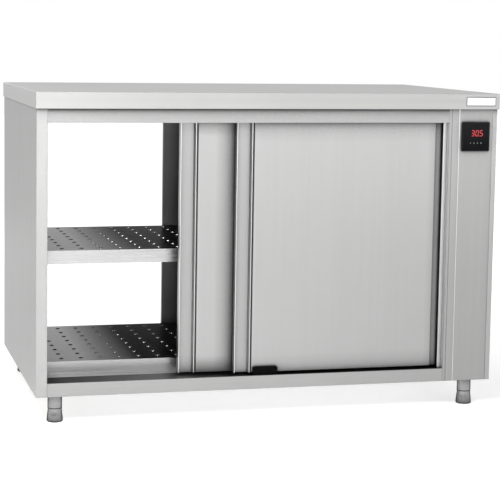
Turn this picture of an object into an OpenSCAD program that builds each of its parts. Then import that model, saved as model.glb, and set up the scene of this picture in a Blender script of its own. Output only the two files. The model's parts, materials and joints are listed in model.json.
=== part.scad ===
// Heated plate cabinet: a worktop over a pass-through chamber with two sliding doors on each long
// side, and a column with the fan, the heater and the controller at its right end.
// The front faces -Y, +X is to the right, and the origin lies on the floor under the middle.

/* [Worktop] */
// Length of the worktop, left to right
top_w = 1200; // [1100:10:1600]
// Depth of the worktop, front to back
top_d = 700; // [640:10:900]
// Height of the worktop's folded edge
top_edge_h = 40; // [34:1:60]
// Thickness of the worktop's sheet
top_sheet = 1.5; // [1:0.1:1.8]
// Thickness of the board under the worktop's sheet
core_t = 18; // [12:1:24]
// How far the front and rear edges stand out from the body
overhang_front = 8; // [5:1:15]
// How far the side edges stand out from the body
overhang_side = 2; // [2:0.5:10]
// Width of the blank plate on the front edge
badge_w = 80; // [40:5:120]
// Height of the blank plate
badge_h = 22; // [12:1:28]
// Distance from the worktop's right end to the middle of the plate
badge_inset = 51; // [45:1:200]

/* [Body] */
// Height from the floor to the worktop's surface, with the feet screwed in
overall_h = 820; // [760:10:950]
// Thickness of the body's sheet
sheet = 1; // [0.8:0.1:1.2]
// Thickness of the left wall, which is the width of its front face
wall_w = 28; // [20:1:40]
// Height of the bottom rails
bottom_rail_h = 34; // [30:1:50]
// Height of the top rails below the worktop's edge
top_rail_h = 35; // [30:1:50]
// Width of the posts between the doors and the control column
post_w = 27; // [20:1:40]
// Depth of the folds behind the front faces
fold_d = 15; // [8:1:16]
// Width of the control column's panels
column_w = 90; // [86:1:140]
// Width of the groove between the control column and the side panel
column_gap = 2; // [1:0.5:8]
// Width of the side panel's folded edge
side_edge_w = 13; // [8:1:20]

/* [Doors] */
// Thickness of a door
door_t = 20; // [18:0.5:24]
// Space between the outer and the inner door
door_gap = 5; // [4:0.5:10]
// Distance from the body's face back to the outer door
door_inset = 17; // [12:1:25]
// How far the two closed doors of a side overlap
door_overlap = 64; // [50:1:90]
// Space left at each end of a door's travel
door_stop = 1; // [0.5:0.1:3]
// Space under the doors
door_lift = 5; // [4:0.5:8]
// How far the doors reach up behind the top rail
door_tuck = 7; // [4:1:10]
// Width of the door's thin rim beside the grip
rim_w = 2.5; // [2:0.5:5]
// Width of the grip channel
grip_w = 33.5; // [26:0.5:45]
// Depth of the grip channel
grip_depth = 12; // [8:0.5:14]
// Width of the slope that leads out of the grip channel
grip_slope = 3; // [0:0.5:5]
// Width of the rib that ends the grip
rib_w = 1.5; // [1.5:0.1:4]
// Width of the groove beside the rib
groove_w = 4.5; // [3:0.5:8]
// Depth of that groove
groove_depth = 8; // [3:0.5:8]
// Width of the set-back lip at the door's other edge
lip_w = 22; // [14:1:30]
// Depth of that lip
lip_depth = 8; // [3:0.5:14]

/* [Door positions] */
// How far the front left door stands open, to the right
front_left_open = 338; // [0:1:420]
// How far the front right door stands open, to the left
front_right_open = 7; // [0:1:420]
// How far the rear left door is from its right stop
rear_left_from_stop = 61; // [0:1:420]
// How far the rear right door stands open, to the left
rear_right_open = 0; // [0:1:420]

/* [Rollers and tracks] */
// Radius of a roller
roller_r = 14; // [10:0.5:15]
// Width of a roller
roller_w = 7; // [5:0.5:7]
// Radius of the roller's axle
axle_r = 4; // [3:0.25:5]
// Distance from a door's end to its roller
roller_inset = 60; // [45:1:120]
// Thickness of the track's metal
track_t = 1.5; // [1:0.1:2]
// Width of the ledge that a roller runs on
ledge_w = 12; // [11:0.5:13]
// Thickness of a door hanger
hanger_t = 2.5; // [2:0.1:3]
// Height of the space between the door's top and the ledge
ledge_lift = 6; // [5:0.5:9]
// Length of the black guide under the doors
guide_w = 64; // [40:1:100]
// Height of the guide
guide_h = 20; // [12:1:30]
// Distance from the cabinet's middle to the guide's middle, to the left
guide_offset = 11; // [0:1:60]

/* [Shelves] */
// Depth of a shelf
shelf_d = 480; // [400:10:500]
// Height of a shelf's folded edges
shelf_h = 34; // [20:1:45]
// Thickness of a shelf's sheet
shelf_t = 1.2; // [1:0.1:2]
// Height of the middle shelf's surface above the floor
mid_shelf_z = 419; // [300:1:560]
// Diameter of the holes in the shelves
hole_d = 10; // [6:1:14]
// Distance between holes along the shelf
hole_pitch_x = 50; // [30:1:80]
// Distance between holes across the shelf
hole_pitch_y = 58; // [30:1:80]
// Least distance from a hole's middle to the shelf's edge
hole_margin = 35; // [20:1:80]
// Width of the ledge of a shelf bracket
bracket_w = 22; // [15:1:35]

/* [Feet] */
// Height of the feet under the body, screwed in
foot_h = 70; // [60:1:85]
// Radius of the tube that holds a foot
sleeve_r = 18; // [14:0.5:19]
// Wall of that tube
sleeve_t = 1.5; // [1:0.1:2.5]
// Height of the part of the tube that shows
sleeve_show = 34; // [20:1:44]
// Radius of the foot's wide end
foot_r = 20; // [17:0.5:24]
// Radius of the rounded lower edge
foot_round = 4; // [2:0.5:6]
// Length of the foot's stem inside the tube
stem_l = 54; // [48:1:60]
// Distance from the worktop's side edges to a foot's middle
foot_inset_x = 55; // [52:1:100]
// Distance from the worktop's front and rear edges to a foot's middle
foot_inset_y = 50; // [46:1:60]

/* [Control column] */
// Side of the controller's square bezel
bezel_w = 75; // [60:1:76]
// How far the bezel stands out
bezel_t = 5; // [3:0.5:6]
// Height from the top of the column's visible front down to the bezel's middle
bezel_drop = 70.5; // [60:0.5:200]
// Radius of the bezel's corners
bezel_round = 2; // [1:0.5:4]
// Width of the bezel's frame around the window
bezel_frame = 3; // [2:0.5:5]
// Depth of the controller's case behind the panel
case_d = 58; // [30:1:80]
// Radius of the fan's wheel
fan_r = 72; // [50:1:90]
// Depth of the fan's wheel
fan_d = 26; // [15:1:30]
// Count of the fan's blades
fan_blades = 14; // [8:1:20]
// Radius of the motor's shaft
shaft_r = 4; // [3:0.5:6]
// Radius of the motor
motor_r = 42; // [30:1:50]
// Length of the motor
motor_l = 48; // [30:1:50]
// Height of the fan's axis above the floor
fan_z = 500; // [440:1:560]
// Radius of the heater's rod
heater_r = 4.2; // [3:0.1:6]
// Radius of the heater's fins
fin_r = 13; // [9:0.5:16]
// Distance between fins
fin_pitch = 9; // [5:0.5:15]
// Length of the heater's straight runs
heater_l = 380; // [200:10:480]
// Height of the heater's middle above the floor
heater_z = 250; // [200:1:300]
// Radius of the mains cable's hole in the gland
gland_r = 4.75; // [3:0.25:6]
// Height of the gland above the body's lower edge
gland_lift = 80; // [70:1:200]

/* [Hidden] */

$fn = 48;
steel = "silver";
dark_steel = "darkgray";
black = "#202022";

// Clearances
fit = 0.3;          // between pieces that slip past or into each other
running = 0.05;     // radial, between an axle and what turns on it
cut = 1;            // how far a cutter reaches past the face that it opens

// Heights
edge_z = overall_h - top_edge_h;
body_z0 = foot_h;
body_z1 = overall_h - top_sheet - core_t;
rail_z = body_z0 + bottom_rail_h;
floor_z = rail_z - sheet;
top_rail_z = edge_z - top_rail_h;
door_z0 = rail_z + door_lift;
door_z1 = top_rail_z + door_tuck;
door_h = door_z1 - door_z0;
ledge_z = door_z1 + ledge_lift + track_t;
roller_z = ledge_z + fit + roller_r;

// Places across the front
left_x = -top_w / 2 + overhang_side;
right_x = top_w / 2 - overhang_side;
side_edge_x = right_x - side_edge_w;
column_x1 = side_edge_x - column_gap;
column_x0 = column_x1 - column_w;
open_x0 = left_x + wall_w;
open_x1 = column_x0 - post_w;
chamber_x0 = open_x0 - sheet;
chamber_x1 = column_x0 - sheet;
column_mid = (column_x0 + column_x1) / 2;

// Places from front to back: the body's face, and the zone that the doors fill
face_y = -top_d / 2 + overhang_front;
body_d = -2 * face_y;
zone_d = door_inset + 2 * door_t + door_gap;
zone_y = face_y + zone_d;

// Doors
door_step = door_t + door_gap;
outer_y = face_y + door_inset;
door_w = (open_x1 - open_x0 + door_overlap) / 2;
grip_x = rim_w + grip_w;
slope_x = grip_x + grip_slope;
rib_x = slope_x + rib_w;
panel_x = rib_x + groove_w;
lip_x = door_w - lip_w;
left_stop_x = open_x0 + door_stop;
right_stop_x = open_x1 - door_stop - door_w;

// A box from its lowest corner to its highest
module slab(lo, hi) {
    translate(lo) cube(hi - lo);
}

// A sheet that faces outwards, with its two edges folded back: a is the first edge, b the last
module folded_face(a, b, z0, z1) {
    slab([a, face_y, z0], [b, face_y + sheet, z1]);
    slab([a, face_y, z0], [a + sheet, face_y + fold_d, z1]);
    slab([b - sheet, face_y, z0], [b, face_y + fold_d, z1]);
}

// The rear of the cabinet is the mirror image of its front
module at_rear() {
    mirror([0, 1, 0]) children();
}

module front_and_rear() {
    children();
    at_rear() children();
}

// The worktop: one sheet, folded down on all four sides and back in under the long edges
module badge_slab(y0, y1, spare) {
    mid = [top_w / 2 - badge_inset, edge_z + top_edge_h / 2];
    half = [badge_w / 2 + spare, badge_h / 2 + spare];
    slab([mid.x - half.x, y0, mid.y - half.y], [mid.x + half.x, y1, mid.y + half.y]);
}

badge_t = 0.8;
badge_sink = 0.5;
return_gap = 2;

module worktop() {
    x = top_w / 2;
    y = top_d / 2;
    inner_x = x - top_sheet;
    inner_y = y - top_sheet;
    color(steel) {
        difference() {
            slab([-x, -y, edge_z], [x, y, overall_h]);
            slab([-inner_x, -inner_y, edge_z - cut], [inner_x, inner_y, overall_h - top_sheet]);
            badge_slab(-y - cut, -y + badge_sink, fit / 2);
        }
        front_and_rear()
            slab([-inner_x, -y, edge_z], [inner_x, -y + overhang_front - return_gap, edge_z + top_sheet]);
    }
}

module worktop_core() {
    x = top_w / 2 - top_sheet - fit;
    y = top_d / 2 - top_sheet - fit;
    color("burlywood") slab([-x, -y, body_z1], [x, y, overall_h - top_sheet]);
}

module badge_plate() {
    front = -top_d / 2 + badge_sink;
    color("lightgray") badge_slab(front - badge_t, front, 0);
}

// The side walls: a tall sheet folded round at front and rear
module side_profile(width, lip) {
    difference() {
        translate([0, face_y]) square([width, body_d]);
        translate([sheet, face_y + sheet]) square([width, body_d - 2 * sheet]);
    }
    for (y = [face_y, -face_y - lip])
        translate([width - sheet, y]) square([sheet, lip]);
}

module left_side_panel() {
    color(steel) translate([left_x, 0, body_z0])
        linear_extrude(body_z1 - body_z0) side_profile(wall_w, fold_d);
}

module left_side_liner() {
    y = -face_y - sheet;
    color(steel) slab([chamber_x0 - sheet, -y, body_z0], [chamber_x0, y, body_z1]);
}

module left_side_insulation() {
    y = -face_y - sheet;
    color("khaki") slab([left_x + sheet, -y, body_z0 + sheet], [chamber_x0 - sheet, y, body_z1 - sheet]);
}

module right_side_panel() {
    color(steel) translate([right_x, 0, body_z0]) mirror([1, 0, 0])
        linear_extrude(body_z1 - body_z0) side_profile(side_edge_w, fold_d);
}

// The wall between the chamber and the column, with the fan's inlet and two rows of outlets
slot_count = 7;
slot_pitch = 70;
slot_w = 40;
slot_h = 6;
outlet_drop = 70;       // from the heater down to the lower row
outlet_lift = 190;      // from the middle shelf up to the upper row
outlet_z = [heater_z - outlet_drop, mid_shelf_z + outlet_lift];
inlet_rings = 3;
inlet_r = fan_r - 10;
inlet_hole_r = 5;
probe_r = 3;
probe_drop = 90;
probe_z = body_z1 - probe_drop;
screw_r = 2;
screw_hole_r = screw_r + fit / 2;

module along_x(x, y, z) {
    translate([x, y, z]) rotate([0, 90, 0]) children();
}

module turned(x, y, z) {
    translate([x, y, z]) rotate([-90, 0, 0]) children();
}

module partition_wall() {
    color(dark_steel) difference() {
        slab([chamber_x1, zone_y, floor_z], [column_x0, -zone_y, body_z1 - sheet]);
        for (z = outlet_z, i = [0 : slot_count - 1]) {
            y = (i - (slot_count - 1) / 2) * slot_pitch;
            slab([chamber_x1 - cut, y - slot_w / 2, z], [column_x0 + cut, y + slot_w / 2, z + slot_h]);
        }
        for (ring = [1 : inlet_rings], i = [0 : 6 * ring - 1])
            along_x(chamber_x1 - cut, 0, fan_z)
                rotate(i * 60 / ring) translate([ring * inlet_r / inlet_rings - inlet_hole_r / 2, 0, 0])
                    cylinder(r = inlet_hole_r, h = sheet + 2 * cut);
        along_x(chamber_x1 - cut, 0, probe_z) cylinder(r = probe_r + running, h = sheet + 2 * cut);
    }
}

// The posts: a channel beside the door opening, with a fine seam down its face
seam_x = 7;
seam_w = 1.2;
seam_depth = 0.6;

module post() {
    color(steel) difference() {
        slab([open_x1, face_y, body_z0], [column_x0, zone_y, body_z1]);
        slab([open_x1 + sheet, face_y + sheet, body_z0 - cut],
             [column_x0 + cut, zone_y - sheet, body_z1 + cut]);
        slab([open_x1 + seam_x, face_y - cut, body_z0 - cut],
             [open_x1 + seam_x + seam_w, face_y + seam_depth, body_z1 + cut]);
    }
}

// Beside the front doors, a set-back strip closes the slit that their lips leave
strip_w = 10;
strip_gap = 1;           // from that strip to the outer door's face

module front_post() {
    y = outer_y - strip_gap;
    post();
    color(steel) slab([open_x1 - strip_w, y - sheet, rail_z], [open_x1, y, top_rail_z + sheet]);
}

module rear_post() {
    at_rear() post();
}

// The control column's panels
bezel_z = edge_z - bezel_drop;
window_w = bezel_w - 2 * bezel_frame;
cutout_w = window_w - 1;
vent_count = 8;
vent_pitch = 14;
vent_w = 54;
vent_h = 5;
vent_drop = 190;
vent_z = edge_z - vent_drop;
gland_z = body_z0 + gland_lift;
gland_body_r = 8;
screw_inset = 10.5;
screw_low = 20;
screw_high = 40;
panel_screw_z = [body_z0 + screw_low, (body_z0 + edge_z) / 2, edge_z - screw_high];
panel_screw_x = [column_x0 + screw_inset, column_x1 - screw_inset];

module column_front_panel() {
    color(steel) difference() {
        folded_face(column_x0, column_x1, body_z0, body_z1);
        translate([column_mid, face_y, bezel_z])
            cube([cutout_w, 2 * cut + 2 * sheet, cutout_w], center = true);
    }
}

module column_rear_panel() {
    color(steel) at_rear() difference() {
        folded_face(column_x0, column_x1, body_z0, body_z1);
        for (i = [0 : vent_count - 1])
            translate([column_mid, face_y, vent_z - i * vent_pitch])
                cube([vent_w, 2 * cut + 2 * sheet, vent_h], center = true);
        turned(column_mid, face_y - cut, gland_z)
            cylinder(r = gland_body_r + fit / 2, h = sheet + 2 * cut);
        for (x = panel_screw_x, z = panel_screw_z)
            turned(x, face_y - cut, z) cylinder(r = screw_hole_r, h = sheet + 2 * cut);
    }
}

// The floor, cut out round the posts, and the chamber's ceiling
floor_y = face_y + fold_d + fit;
skirt_h = bottom_rail_h - 3 * sheet;

module floor_panel() {
    color(dark_steel) difference() {
        union() {
            slab([chamber_x0, floor_y, floor_z - sheet], [right_x - sheet, -floor_y, floor_z]);
            front_and_rear()
                slab([chamber_x0, floor_y, floor_z - skirt_h], [column_x1, floor_y + sheet, floor_z]);
        }
        front_and_rear() slab([open_x1, face_y, body_z0], [column_x0, zone_y, body_z1]);
    }
}

module ceiling_panel() {
    color(dark_steel)
        slab([chamber_x0, zone_y, body_z1 - sheet], [right_x - sheet, -zone_y, body_z1]);
}

// The rails above and below the doors
rail_lap = 8;
rail_foot_d = 18;
top_return_d = 10;

module bottom_rail() {
    color(steel) {
        slab([open_x0, face_y, body_z0], [open_x1, face_y + sheet, rail_z]);
        slab([open_x0, face_y, floor_z], [open_x1, zone_y + rail_lap, rail_z]);
        slab([open_x0, face_y, body_z0], [open_x1, face_y + rail_foot_d, body_z0 + sheet]);
    }
}

module top_rail() {
    color(steel) {
        slab([open_x0, face_y, top_rail_z], [open_x1, face_y + sheet, body_z1]);
        slab([open_x0, face_y, body_z1 - sheet], [open_x1, zone_y, body_z1]);
        slab([open_x0, face_y, top_rail_z], [open_x1, face_y + top_return_d, top_rail_z + sheet]);
    }
}

module front_bottom_rail() {
    bottom_rail();
}

module rear_bottom_rail() {
    at_rear() bottom_rail();
}

module front_top_rail() {
    top_rail();
}

module rear_top_rail() {
    at_rear() top_rail();
}

// Places in a door's own thickness, from its outer face inwards
web_y = -4;
roller_y = -0.8;
plate_y = 9.5;

// A double track: two ledges hung from one top plate
module track() {
    hang = body_z1 - sheet;
    slab([open_x0, outer_y + web_y, hang - track_t], [open_x1, outer_y + web_y + door_step + ledge_w, hang]);
    for (y = [outer_y + web_y, outer_y + web_y + door_step]) {
        slab([open_x0, y, ledge_z - track_t], [open_x1, y + track_t, hang]);
        slab([open_x0, y, ledge_z - track_t], [open_x1, y + ledge_w, ledge_z]);
    }
}

module door_tracks() {
    color(dark_steel) front_and_rear() track();
}

// The black guide that both doors of a side run through
guide_lip = 5;
guide_base = 3;
guide_round = 4.5;
guide_side = 0.8;

module guide() {
    y0 = outer_y - guide_side - guide_lip;
    y1 = zone_y + guide_side + guide_lip;
    difference() {
        translate([-guide_offset, y1, rail_z]) rotate([90, 0, 0]) linear_extrude(y1 - y0) {
            translate([-guide_w / 2, 0]) square([guide_w, guide_h - guide_round]);
            translate([-guide_w / 2 + guide_round, 0]) square([guide_w - 2 * guide_round, guide_h]);
            for (s = [-1, 1])
                translate([s * (guide_w / 2 - guide_round), guide_h - guide_round]) circle(guide_round);
        }
        for (y = [outer_y, outer_y + door_step])
            slab([-guide_offset - guide_w, y - guide_side, rail_z + guide_base],
                 [-guide_offset + guide_w, y + door_t + guide_side, rail_z + guide_h + cut]);
    }
}

module door_guides() {
    color(black) front_and_rear() guide();
}

// A door lies in its own frame: x from its grip edge, y from its outer face inwards
skin_back = door_t - sheet;

function skin_front() = [
    [0, skin_back], [0, 0], [rim_w, 0], [rim_w, grip_depth], [grip_x, grip_depth], [slope_x, 0],
    [rib_x, 0], [rib_x, groove_depth], [panel_x, groove_depth], [panel_x, 0],
    [lip_x, 0], [lip_x, lip_depth], [door_w, lip_depth], [door_w, skin_back]
];

function skin_inside() = [
    [door_w - sheet, skin_back], [door_w - sheet, lip_depth + sheet],
    [lip_x - sheet, lip_depth + sheet], [lip_x - sheet, sheet],
    [panel_x + sheet, sheet], [panel_x + sheet, groove_depth + sheet],
    [slope_x + sheet, groove_depth + sheet], [grip_x + sheet, grip_depth + sheet],
    [sheet, grip_depth + sheet], [sheet, skin_back]
];

module door_skin() {
    color(steel) {
        translate([0, 0, door_z0]) linear_extrude(door_h) polygon(concat(skin_front(), skin_inside()));
        for (z = [door_z0, door_z1 - sheet])
            translate([0, 0, z]) linear_extrude(sheet) polygon(skin_front());
    }
}

module door_liner() {
    color(dark_steel) slab([0, skin_back, door_z0], [door_w, door_t, door_z1]);
}

// The hangers that stand on a door's top and carry its rollers
hanger_w = 60;
stem_w = 36;
axle_head = 0.8;
axle_side = 0.2;
hanger_edge = 1;
collar_r = 1.5 * axle_r;
stem_above = 2.5 * axle_r;

module hanger(x) {
    y1 = plate_y + hanger_t;
    hub_y = roller_y + roller_w + axle_side;
    head_y = roller_y - axle_side - axle_head;
    slab([x - hanger_w / 2, hanger_edge, door_z1], [x + hanger_w / 2, y1, door_z1 + hanger_t]);
    slab([x - stem_w / 2, plate_y, door_z1], [x + stem_w / 2, y1, roller_z + stem_above]);
    turned(x, head_y, roller_z) cylinder(r = axle_r, h = plate_y - head_y);
    turned(x, hub_y, roller_z) cylinder(r = collar_r, h = plate_y - hub_y);
    turned(x, head_y, roller_z) cylinder(r = collar_r, h = axle_head);
}

module door_hangers() {
    color(dark_steel) for (x = [roller_inset, door_w - roller_inset]) hanger(x);
}

tread_depth = 0.8;
tread_w = 0.6;
recess_in = 4;
recess_out = 3;
recess_depth = 1;

module roller(x) {
    color(black) turned(x, roller_y, roller_z) rotate_extrude() difference() {
        translate([axle_r + running, 0]) square([roller_r - axle_r - running, roller_w]);
        translate([roller_r - tread_depth, (roller_w - tread_w) / 2]) square([2 * tread_depth, tread_w]);
        translate([axle_r + recess_in, roller_w - recess_depth])
            square([roller_r - axle_r - recess_in - recess_out, recess_depth + cut]);
    }
}

// Where each door stands: front doors have their grip at the left, and rear doors, turned round
// to face the other side, at the right
module front_door(x, track) {
    translate([x, outer_y + track * door_step, 0]) children();
}

module rear_door(x, track) {
    translate([x + door_w, -outer_y - track * door_step, 0]) rotate(180) children();
}

module in_front_left() {
    front_door(left_stop_x + front_left_open, 1) children();
}

module in_front_right() {
    front_door(right_stop_x - front_right_open, 0) children();
}

module in_rear_left() {
    rear_door(right_stop_x - rear_left_from_stop, 0) children();
}

module in_rear_right() {
    rear_door(right_stop_x - rear_right_open, 1) children();
}

roller_a = roller_inset;
roller_b = door_w - roller_inset;

module front_left_door_skin() { in_front_left() door_skin(); }
module front_left_door_liner() { in_front_left() door_liner(); }
module front_left_door_hangers() { in_front_left() door_hangers(); }
module front_left_door_roller_a() { in_front_left() roller(roller_a); }
module front_left_door_roller_b() { in_front_left() roller(roller_b); }
module front_right_door_skin() { in_front_right() door_skin(); }
module front_right_door_liner() { in_front_right() door_liner(); }
module front_right_door_hangers() { in_front_right() door_hangers(); }
module front_right_door_roller_a() { in_front_right() roller(roller_a); }
module front_right_door_roller_b() { in_front_right() roller(roller_b); }
module rear_left_door_skin() { in_rear_left() door_skin(); }
module rear_left_door_liner() { in_rear_left() door_liner(); }
module rear_left_door_hangers() { in_rear_left() door_hangers(); }
module rear_left_door_roller_a() { in_rear_left() roller(roller_a); }
module rear_left_door_roller_b() { in_rear_left() roller(roller_b); }
module rear_right_door_skin() { in_rear_right() door_skin(); }
module rear_right_door_liner() { in_rear_right() door_liner(); }
module rear_right_door_hangers() { in_rear_right() door_hangers(); }
module rear_right_door_roller_a() { in_rear_right() roller(roller_a); }
module rear_right_door_roller_b() { in_rear_right() roller(roller_b); }

// The perforated shelves, with all four edges folded down
shelf_x0 = chamber_x0 + sheet;
shelf_x1 = chamber_x1 - sheet;
shelf_w = shelf_x1 - shelf_x0;
holes_x = floor((shelf_w - 2 * hole_margin) / hole_pitch_x) + 1;
holes_y = floor((shelf_d - 2 * hole_margin) / hole_pitch_y) + 1;

module shelf(z) {
    color(dark_steel) {
        translate([shelf_x0, -shelf_d / 2, z - shelf_t]) linear_extrude(shelf_t) difference() {
            square([shelf_w, shelf_d]);
            for (i = [0 : holes_x - 1], j = [0 : holes_y - 1])
                translate([shelf_w / 2 + (i - (holes_x - 1) / 2) * hole_pitch_x,
                           shelf_d / 2 + (j - (holes_y - 1) / 2) * hole_pitch_y])
                    circle(d = hole_d);
        }
        translate([shelf_x0, -shelf_d / 2, z - shelf_h]) linear_extrude(shelf_h) difference() {
            square([shelf_w, shelf_d]);
            translate([shelf_t, shelf_t]) square([shelf_w - 2 * shelf_t, shelf_d - 2 * shelf_t]);
        }
    }
}

module mid_shelf() {
    shelf(mid_shelf_z);
}

module lower_shelf() {
    shelf(floor_z + shelf_h);
}

// Angle brackets on both end walls, which the middle shelf stands on
bracket_t = 1.5;
bracket_drop = 22;
bracket_margin = 10;

module bracket(x0, x1, wall_x) {
    z = mid_shelf_z - shelf_h;
    y = shelf_d / 2 - bracket_margin;
    slab([x0, -y, z - bracket_t], [x1, y, z]);
    slab([wall_x, -y, z - bracket_drop], [wall_x + bracket_t, y, z]);
}

module shelf_brackets() {
    color(dark_steel) {
        bracket(chamber_x0, chamber_x0 + bracket_w, chamber_x0);
        bracket(chamber_x1 - bracket_w, chamber_x1, chamber_x1 - bracket_t);
    }
}

// The fan: a plate on four spacers carries the motor, whose shaft holds the wheel
wheel_gap = 6;
wheel_x0 = column_x0 + wheel_gap;
plate_gap = 4;
fan_plate_x = wheel_x0 + fan_d + plate_gap;
fan_plate_t = 2;
spacer_r = 5;
spacer_at = 82;
fan_plate_half = spacer_at + 8;
shaft_hole_r = shaft_r + 4;
motor_ribs = 3;
motor_rib_x = 10;
motor_rib_pitch = 12;
motor_rib_w = 4;
motor_rib_h = 2;
wheel_disc_t = 1.5;
hub_r = 12;
hub_set_back = 2;
blade_t = 1.2;
blade_l = 0.42 * fan_r;
blade_in_r = 0.62 * fan_r;
blade_turn = 35;

module fan_plate() {
    color(steel) {
        difference() {
            slab([fan_plate_x, -fan_plate_half, fan_z - fan_plate_half],
                 [fan_plate_x + fan_plate_t, fan_plate_half, fan_z + fan_plate_half]);
            along_x(fan_plate_x - cut, 0, fan_z) cylinder(r = shaft_hole_r, h = fan_plate_t + 2 * cut);
        }
        for (y = [-1, 1], z = [-1, 1])
            along_x(column_x0, y * spacer_at, fan_z + z * spacer_at)
                cylinder(r = spacer_r, h = fan_plate_x - column_x0);
    }
}

module fan_motor() {
    motor_x = fan_plate_x + fan_plate_t;
    color(dark_steel) {
        along_x(motor_x, 0, fan_z) cylinder(r = motor_r, h = motor_l);
        for (i = [0 : motor_ribs - 1])
            along_x(motor_x + motor_rib_x + motor_rib_pitch * i, 0, fan_z)
                cylinder(r = motor_r + motor_rib_h, h = motor_rib_w);
        along_x(wheel_x0, 0, fan_z) cylinder(r = shaft_r, h = motor_x - wheel_x0);
    }
}

module fan_wheel() {
    color("gray") along_x(wheel_x0, 0, fan_z) difference() {
        union() {
            translate([0, 0, fan_d - wheel_disc_t]) cylinder(r = fan_r, h = wheel_disc_t);
            translate([0, 0, hub_set_back]) cylinder(r = hub_r, h = fan_d - hub_set_back);
            difference() {
                cylinder(r = fan_r, h = wheel_disc_t);
                translate([0, 0, -cut]) cylinder(r = blade_in_r, h = wheel_disc_t + 2 * cut);
            }
            for (i = [0 : fan_blades - 1])
                rotate(i * 360 / fan_blades) translate([blade_in_r, 0, 0]) rotate(blade_turn)
                    translate([0, -blade_t / 2, 0]) cube([blade_l, blade_t, fan_d]);
        }
        translate([0, 0, -cut]) cylinder(r = shaft_r + running, h = fan_d + 2 * cut);
    }
}

// The heater: two finned runs joined by a bend, held off the wall by two clips
fin_t = 1;
run_gap = 40;
heater_x = column_mid;
fin_count = floor(heater_l / fin_pitch);
clip_t = 4;
clip_inset = 2;
clip_reach = 2 * heater_r;

module heater_run() {
    rotate([-90, 0, 0]) rotate_extrude() {
        square([heater_r, heater_l]);
        for (i = [1 : fin_count - 1]) translate([0, i * fin_pitch]) square([fin_r, fin_t]);
    }
}

module heater_element() {
    y0 = -heater_l / 2;
    color("dimgray") {
        for (s = [-1, 1]) translate([heater_x, y0, heater_z + s * run_gap / 2]) heater_run();
        translate([heater_x, y0, heater_z]) rotate([0, 90, 0]) rotate([0, 0, 180])
            rotate_extrude(angle = 180) translate([run_gap / 2, 0]) circle(heater_r);
        for (y = [y0 + clip_inset, -y0 - clip_t - clip_inset])
            slab([column_x0, y, heater_z - run_gap / 2 - clip_reach],
                 [heater_x + clip_reach, y + clip_t, heater_z + run_gap / 2 + clip_reach]);
    }
}

// The temperature probe reaches through the wall into the chamber
probe_in = 32;
probe_out = 18;
probe_nut_t = 5;

module temperature_probe() {
    color("lightgray") {
        along_x(chamber_x1 - probe_in, 0, probe_z) cylinder(r = probe_r, h = probe_in + sheet + probe_out);
        along_x(column_x0, 0, probe_z) cylinder(r = 2 * probe_r, h = probe_nut_t);
    }
}

// The controller: a case through the column's panel, with its bezel outside and a dark window
bezel_y = face_y - bezel_t;
window_t = 1.5;

module rounded_plate(width, round, y0, y1) {
    translate([column_mid, y1, bezel_z]) rotate([90, 0, 0]) linear_extrude(y1 - y0) {
        square([width - 2 * round, width], center = true);
        square([width, width - 2 * round], center = true);
        for (x = [-1, 1], z = [-1, 1])
            translate([x * (width / 2 - round), z * (width / 2 - round)]) circle(round);
    }
}

module controller_case() {
    half = cutout_w / 2 - fit;
    color(black) difference() {
        union() {
            rounded_plate(bezel_w, bezel_round, bezel_y, face_y);
            slab([column_mid - half, face_y - bezel_t / 2, bezel_z - half],
                 [column_mid + half, face_y + case_d, bezel_z + half]);
        }
        rounded_plate(window_w, bezel_round, bezel_y - cut, bezel_y + window_t);
    }
}

module display_window() {
    color("#101014") rounded_plate(window_w - fit, bezel_round, bezel_y, bezel_y + window_t);
}

// Connections inside the column
block_y = -60;
block_l = 90;
block_h = 24;
block_drop = 69.5;       // from the controller's middle down to the block
block_z = bezel_z - block_drop;
terminal_r = 2.5;
terminal_depth = 8;
terminals = 6;

module terminal_block() {
    x1 = right_x - sheet;
    color("ivory") difference() {
        slab([x1 - block_h, block_y, block_z], [x1, block_y + block_l, block_z + block_h]);
        for (i = [0 : terminals - 1])
            along_x(x1 - block_h - cut, block_y + (i + 0.5) * block_l / terminals, block_z + block_h / 2)
                cylinder(r = terminal_r, h = terminal_depth + cut);
    }
}

breaker_size = [30, 40, 46];
breaker_lift = 90;
breaker_at = [column_x0, -120, heater_z + breaker_lift];
capillary_r = 1.5;
capillary_l = 34;

module overheat_cutout() {
    color(black) {
        slab(breaker_at, breaker_at + breaker_size);
        translate(breaker_at + [breaker_size.x / 2, breaker_size.y / 2, -capillary_l])
            cylinder(r = capillary_r, h = capillary_l);
    }
}

// Two looms: one climbs the side panel from the gland to the block, one goes on to the controller
loom_r = 4;
loom_bend = 12;
loom_x = right_x - sheet - loom_r - fit;
loom_start = 10;
loom_rise = 36;
gland_in = 12;
gland_back_y = -face_y - sheet - gland_in;
loom_y = gland_back_y - loom_bend - loom_start;
lead_y = face_y + case_d + loom_rise;
lead_from_y = block_y + 14;

function loom_points() = [
    [column_mid, gland_back_y, gland_z],
    [column_mid, loom_y, gland_z],
    [loom_x, loom_y, gland_z],
    [loom_x, loom_y, block_z - loom_rise],
    [loom_x, block_y + block_l / 2, block_z - loom_rise],
    [loom_x, block_y + block_l / 2, block_z]
];

function lead_points() = [
    [loom_x, lead_from_y, block_z + block_h],
    [loom_x, lead_from_y, bezel_z],
    [loom_x, lead_y, bezel_z],
    [column_mid, lead_y, bezel_z],
    [column_mid, face_y + case_d, bezel_z]
];

// A bend of 90 degrees at p, from direction u to direction w
module loom_corner(p, u, w) {
    c = p - loom_bend * u + loom_bend * w;
    n = cross(u, w);
    multmatrix([[-w.x, u.x, n.x, c.x], [-w.y, u.y, n.y, c.y], [-w.z, u.z, n.z, c.z], [0, 0, 0, 1]])
        rotate_extrude(angle = 90) translate([loom_bend, 0]) circle(loom_r);
}

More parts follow.
